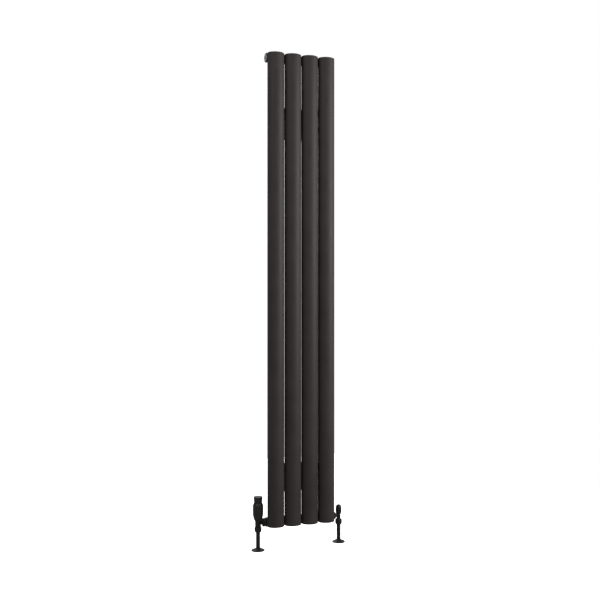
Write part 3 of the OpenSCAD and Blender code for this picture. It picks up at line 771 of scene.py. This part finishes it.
nutSizes = {"unionAf": 25.5, "unionStart": 16.2, "unionEnd": 26.6, "unionBevel": 2.2,
            "unionBore": 11.3, "unionStep": 24.4, "unionTail": 9.6,
            "inletAf": 22, "inletLow": -31, "inletTop": -13.4, "inletBevel": 6, "inletFoot": 8.6,
            "unionDrop": 2.3, "inletDrop": 2.9, "inletFootDrop": 4.2,
            "inletBore": 9, "inletStep": -29.8, "inletTail": 7.2}


def turnedOff(corner, end, bevel, drop, steps=7):  # limits that round a hexagon off at one end
    turns = [math.pi / 2 * k / steps for k in range(steps + 1)]
    return [(corner - drop * (1 - math.sin(t)), end + bevel * (1 - math.cos(t))) for t in turns]


def bevelled(corner, low, high, bevel, drop):
    return turnedOff(corner, low, bevel, drop) + turnedOff(corner, high, -bevel, drop)[::-1]


def makeNuts(side, valve):
    s = nutSizes
    corner = s["unionAf"] / 2 / math.cos(math.pi / 6)
    union = hexNut(valve + "UnionNut", s["unionAf"],
                   bevelled(corner, s["unionStart"], s["unionEnd"], s["unionBevel"],
                            s["unionDrop"]),
                   [(s["unionTail"] + 0.5, s["unionEnd"]), (s["unionTail"], s["unionEnd"] - 0.5),
                    (s["unionTail"], s["unionStep"]), (s["unionBore"], s["unionStep"]),
                    (s["unionBore"], s["unionStart"] + 0.5),
                    (s["unionBore"] + 0.3, s["unionStart"])],
                   valveBranch(side))
    place(union, "radiator", valveCoat, "valve_black", valve + "_union_nut")
    corner = s["inletAf"] / 2 / math.cos(math.pi / 6)
    inlet = hexNut(valve + "InletNut", s["inletAf"],
                   turnedOff(corner, s["inletLow"], s["inletFoot"], s["inletFootDrop"])
                   + turnedOff(corner, s["inletTop"], -s["inletBevel"], s["inletDrop"])[::-1],
                   [(s["inletBore"] + 0.4, s["inletTop"]), (s["inletBore"], s["inletTop"] - 0.4),
                    (s["inletBore"], s["inletStep"]), (s["inletTail"], s["inletStep"]),
                    (s["inletTail"], s["inletLow"] + 0.4), (s["inletTail"] + 0.4, s["inletLow"])],
                   valveUpright(side))
    place(inlet, "radiator", valveCoat, "valve_black", valve + "_inlet_nut")


makeNuts(-1, "trv")
makeNuts(1, "lockshield")
print("nuts made")


# Thermostatic head: fixing ring, ribbed handle and its cap

headSizes = {"radius": 17.8, "fullZ": 34.7, "bulge": 35.7, "ringLow": 6.2, "ringTop": 19.5,
             "handleLow": 20.1, "handleTop": 67.6, "shoulderHeight": 7, "shoulderIn": 3.1,
             "ribHeight": 0.35, "handleRibs": 32, "ribWidth": 1.7, "ringRibs": 44,
             "ringRibWidth": 1.1, "capTop": 89.1, "capFoot": 14, "capRadius": 14.98,
             "ringBore": 8.5, "ringRoom": 10.5, "ringFloor": 11.8, "coreBore": 13.8,
             "wideBore": 15.4, "wideBoreDepth": 7.5, "lid": 2.5, "capHole": 9.9, "capSpigot": 9.8,
             "capHollow": 8, "capWall": 2.2,
             "ringRibHeights": (8.2, 8.6, 10, 12, 14, 16, 17.4, 17.8),
             "handleRibHeights": (24.5, 25.2, 27, 30, 33, 37, 45, 53, 59.6, 60.3)}


def headRadius(z):
    s = headSizes
    if z >= s["fullZ"]:
        return s["radius"]
    return s["radius"] * math.sqrt(1 - ((s["fullZ"] - z) / s["bulge"]) ** 2)


def rib(name, path, width, height, sides=8):  # a low rounded strip up the outside, at angle zero
    rings = []
    for i, (r, z) in enumerate(path):
        shrink = 0.25 if i in (0, len(path) - 1) else 1
        rings.append([(r + height * shrink * math.sin(2 * math.pi * k / sides),
                       width / 2 * shrink * math.cos(2 * math.pi * k / sides), z)
                      for k in range(sides)])
    return loft(name, rings, Matrix.Scale(mm, 4), False, 60)


def ribsRound(name, path, width, height, count, side, body, material, slot):
    ribs = rib(name, path, width, height)
    centre = valveUpright(side).translation
    runTree(ribs, ringOfCopies, {"Count": count, "Centre": centre, "Material": material})
    place(ribs, body, material, slot)


def makeHead():
    s = headSizes
    spot = valveUpright(-1)
    skin = s["ribHeight"]

    def outside(z, less=skin):
        return headRadius(z) - less

    rise = [s["ringLow"] + 0.5 + (s["ringTop"] - 1 - s["ringLow"]) * k / 12 for k in range(13)]
    ring = ([(s["ringBore"], s["ringLow"] + 0.3), (s["ringBore"] + 0.3, s["ringLow"]),
             (outside(s["ringLow"]) - 0.5, s["ringLow"])]
            + [(outside(z), z) for z in rise]
            + [(outside(s["ringTop"]) - 0.4, s["ringTop"]), (s["ringRoom"], s["ringTop"]),
               (s["ringRoom"], s["ringFloor"]), (s["ringBore"], s["ringFloor"])])
    place(lathe("trvFixingRing", ring, spot, True), "radiator", headPlastic, "head_black",
          "trv_fixing_ring")
    path = [(outside(z), z) for z in s["ringRibHeights"]]
    ribsRound("fixingRingRibs", path, s["ringRibWidth"], skin, s["ringRibs"], -1, "radiator",
              headPlastic, "head_black")

    low, top = s["handleLow"], s["handleTop"]
    rise = [low + 0.5 + (s["fullZ"] - low - 0.5) * k / 12 for k in range(13)]
    wide = s["radius"] - skin
    shoulder = rounded([(wide, rise[-1]), (wide, top - s["shoulderHeight"], 5),
                        (wide - s["shoulderIn"], top - 0.4, 0.9), (s["capHole"] + 0.5, top),
                        (s["capHole"], top - 0.4)])[1:]
    core, bore = s["coreBore"], s["wideBore"]
    handle = ([(core, low + 0.3), (core + 0.3, low), (outside(low) - 0.5, low)]
              + [(outside(z), z) for z in rise] + shoulder
              + [(s["capHole"], top - s["lid"]), (core, top - s["lid"]),
                 (core, top - s["wideBoreDepth"]), (bore, top - s["wideBoreDepth"]),
                 (bore, s["fullZ"]), (core, s["fullZ"])])
    place(lathe("trvHandle", handle, spot, True, 128), "thermostat_handle", headPlastic,
          "head_black", "trv_handle")
    path = [(outside(z), z) for z in s["handleRibHeights"]]
    ribsRound("handleRibs", path, s["ribWidth"], skin, s["handleRibs"], -1, "thermostat_handle",
              headPlastic, "head_black")

    foot, wide, peak = s["capFoot"], s["capRadius"], s["capTop"]
    waist = [(foot + (wide - foot) * (1 - math.cos(math.pi * k / 10)) / 2,
              top + 2.5 + (peak - top - 6.5) * k / 10) for k in range(11)]
    hollow, spigot, roof = s["capHollow"], s["capSpigot"], peak - s["capWall"]
    cap = ([(0, roof), (hollow, roof), (hollow, top - s["lid"]), (spigot, top - s["lid"]),
            (spigot, top), (foot - 0.3, top), (foot, top + 0.4)] + waist
           + rounded([(wide, peak - 3.5), (wide, peak - 0.3, 1.3), (wide - 4.5, peak, 3),
                      (wide - 6, peak, 0.5), (wide - 6.6, peak - 0.5, 0.4), (0, peak - 0.5)]))
    place(lathe("trvHandleCap", cap, spot), "thermostat_handle", headPlastic, "head_black",
          "trv_handle_cap")


makeHead()
print("thermostatic head made")


# Lockshield cap: a domed sleeve with grip ribs

shieldSizes = {"low": 6.4, "radius": 10.25, "rim": 9.25, "bore": 8.25, "top": 37.9, "dome": 9.4,
               "boreTop": 30.9, "ribs": 28, "ribWidth": 1.2, "ribHeight": 0.3,
               "ribHeights": (12.4, 12.9, 15, 19, 23, 26.2, 26.8)}


def makeShield():
    s = shieldSizes
    wide = s["radius"] - s["ribHeight"]
    rim = s["rim"] - s["ribHeight"]
    dome = [(wide * math.cos(a), s["top"] - s["dome"] + s["dome"] * math.sin(a))
            for a in (math.radians(7.5 * k) for k in range(13))]
    profile = ([(0, s["boreTop"]), (s["bore"], s["boreTop"]),
                (s["bore"], s["low"] + 0.3), (s["bore"] + 0.3, s["low"]), (rim - 0.2, s["low"]),
                (rim, s["low"] + 0.3), (wide - 0.3, s["low"] + 3.2), (wide, s["low"] + 4.4)] + dome)
    cap = lathe("lockshieldCap", profile, valveUpright(1))
    place(cap, "shield_cap", headPlastic, "head_black", "lockshield_cap")
    path = [(wide, z) for z in s["ribHeights"]]
    ribsRound("lockshieldCapRibs", path, s["ribWidth"], s["ribHeight"], s["ribs"], 1, "shield_cap",
              headPlastic, "head_black")


makeShield()
print("lockshield cap made")


# Pipes and floor collars

pipeSizes = {"radius": 7, "wall": 1, "edge": 0.3}
collarSizes = {"radius": 22.5, "height": 9, "bore": 7.3, "rim": 2, "crown": 8.3, "flare": 1.15,
               "steps": 14}


def onPipe(side, height):  # stands on a pipe's axis
    middle = pipeMiddles[side]
    return Matrix.Translation((middle.x, middle.y, height)) @ Matrix.Scale(mm, 4)


def makePipe(side, name, node):
    s = pipeSizes
    low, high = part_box(node)
    length = (high.z - low.z) / mm
    inner = s["radius"] - s["wall"]
    profile = rounded([(inner, length / 2), (inner, 0, s["edge"]), (s["radius"], 0, s["edge"]),
                       (s["radius"], length, s["edge"]), (inner, length, s["edge"]),
                       (inner, length / 2)], 3)[:-1]
    place(lathe(name, profile, onPipe(side, low.z), True, 72), "radiator", pipeCoat, "valve_black",
          node)


def makeCollar(side, name, node, body):
    s = collarSizes
    run, rise = s["crown"] - s["radius"], s["height"] - s["rim"]
    flare = [(s["radius"] + run * t, s["rim"] + rise * t ** s["flare"])
             for t in (k / s["steps"] for k in range(1, s["steps"]))]
    profile = rounded([(s["bore"], 0.2), (s["bore"] + 0.2, 0), (s["radius"] - 0.3, 0),
                       (s["radius"], 0.3), (s["radius"], s["rim"], 0.5)] + flare
                      + [(s["crown"], s["height"], 0.2), (s["bore"] + 0.2, s["height"]),
                         (s["bore"], s["height"] - 0.4)])
    place(lathe(name, profile, onPipe(side, floorZ), True, 128), body, collarPlastic, "valve_black",
          node)


makePipe(-1, "pipeLeft", "pipe_left")
makePipe(1, "pipeRight", "pipe_right")
makeCollar(-1, "floorCollarLeft", "floor_collar_left", "collar_left")
makeCollar(1, "floorCollarRight", "floor_collar_right", "collar_right")
print("pipes and collars made")


# CAD parts that keep their shape

for material, nodes in (
        (turnedSteel, ["header_bosses", "trv_pin", "trv_sensor"]),
        (rubberSeal, ["blanking_plug_seal", "air_vent_seal", "trv_valve_disc"]),
        (branchBrass, ["trv_tail", "lockshield_tail"]),
        (uprightBrass, ["trv_olive", "lockshield_olive", "trv_gland", "lockshield_gland",
                        "lockshield_plug", "lockshield_spindle"]),
        (wireSteel, ["trv_pin_spring", "trv_overtravel_spring"]),
        (whiteAcetal, ["trv_head_core", "trv_setting_nut"])):
    for node in nodes:
        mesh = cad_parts[node].data
        mesh.materials.clear()
        mesh.materials.append(material)
print("kept parts painted")


# Studio: pale floor, white surround, soft key from the right, fill from the left, light behind

studio = {"floorSize": 3, "surround": 0.36, "keyPower": 50, "keySize": (0.9, 1.6),
          "keyPlace": (1.56, -1.14, 0.64), "fillPower": 36, "fillSize": (1.4, 1.4),
          "fillPlace": (-2.3, -1.9, 1.9), "backPower": 26, "backSize": (1.6, 1.6),
          "backPlace": (0.4, 2.4, 1.3)}
camera = {"lens": 50, "sensor": 36, "place": (-0.9963, -2.7431, 0.005), "turn": -20.37}


def softLight(name, place, size, power, target):
    data = bpy.data.lights.new(name, "AREA")
    data.shape, data.size, data.size_y, data.energy = "RECTANGLE", size[0], size[1], power
    lamp = bpy.data.objects.new(name, data)
    lamp.location = place
    lamp.rotation_euler = (Vector(target) - Vector(place)).to_track_quat("-Z", "Y").to_euler()
    bpy.context.scene.collection.objects.link(lamp)


def makeStudio():
    half = studio["floorSize"] / 2
    mesh = bpy.data.meshes.new("studioFloor")
    mesh.from_pydata([(-half, -half, floorZ), (half, -half, floorZ), (half, half, floorZ),
                      (-half, half, floorZ)], [], [(0, 1, 2, 3)])
    mesh.materials.append(paleFloor())
    floor = newObject("studioFloor", mesh)
    floor.visible_diffuse = floor.visible_glossy = False  # keeps its glow off the object

    world = bpy.data.worlds.new("studioSurround")
    world.use_nodes = True
    tree = world.node_tree
    tree.nodes.clear()
    lit = addNode(tree, "ShaderNodeBackground",
                  {"Color": (1, 1, 1, 1), "Strength": studio["surround"]})
    seen = addNode(tree, "ShaderNodeBackground", {"Color": (1, 1, 1, 1), "Strength": 1})
    ray = addNode(tree, "ShaderNodeLightPath")
    mix = addNode(tree, "ShaderNodeMixShader", {0: ray.outputs["Is Camera Ray"], 1: lit.outputs[0],
                                                2: seen.outputs[0]})
    addNode(tree, "ShaderNodeOutputWorld", {"Surface": mix.outputs[0]})
    bpy.context.scene.world = world

    softLight("keyLight", studio["keyPlace"], studio["keySize"], studio["keyPower"],
              (0, lowAxis.y, studio["keyPlace"][2] - 0.1))
    softLight("fillLight", studio["fillPlace"], studio["fillSize"], studio["fillPower"],
              (0, lowAxis.y, tubeHigh.z * 0.7))
    softLight("backLight", studio["backPlace"], studio["backSize"], studio["backPower"],
              (0, 0, 0))

    eye = bpy.data.objects.new("camera", bpy.data.cameras.new("camera"))
    eye.data.lens, eye.data.sensor_width = camera["lens"], camera["sensor"]
    eye.location = camera["place"]
    eye.rotation_euler = (math.radians(90), 0, math.radians(camera["turn"]))
    bpy.context.scene.collection.objects.link(eye)
    bpy.context.scene.camera = eye
    bpy.context.scene.view_settings.view_transform = "Standard"
    bpy.context.scene.view_settings.look = "None"


makeStudio()
print("studio made")
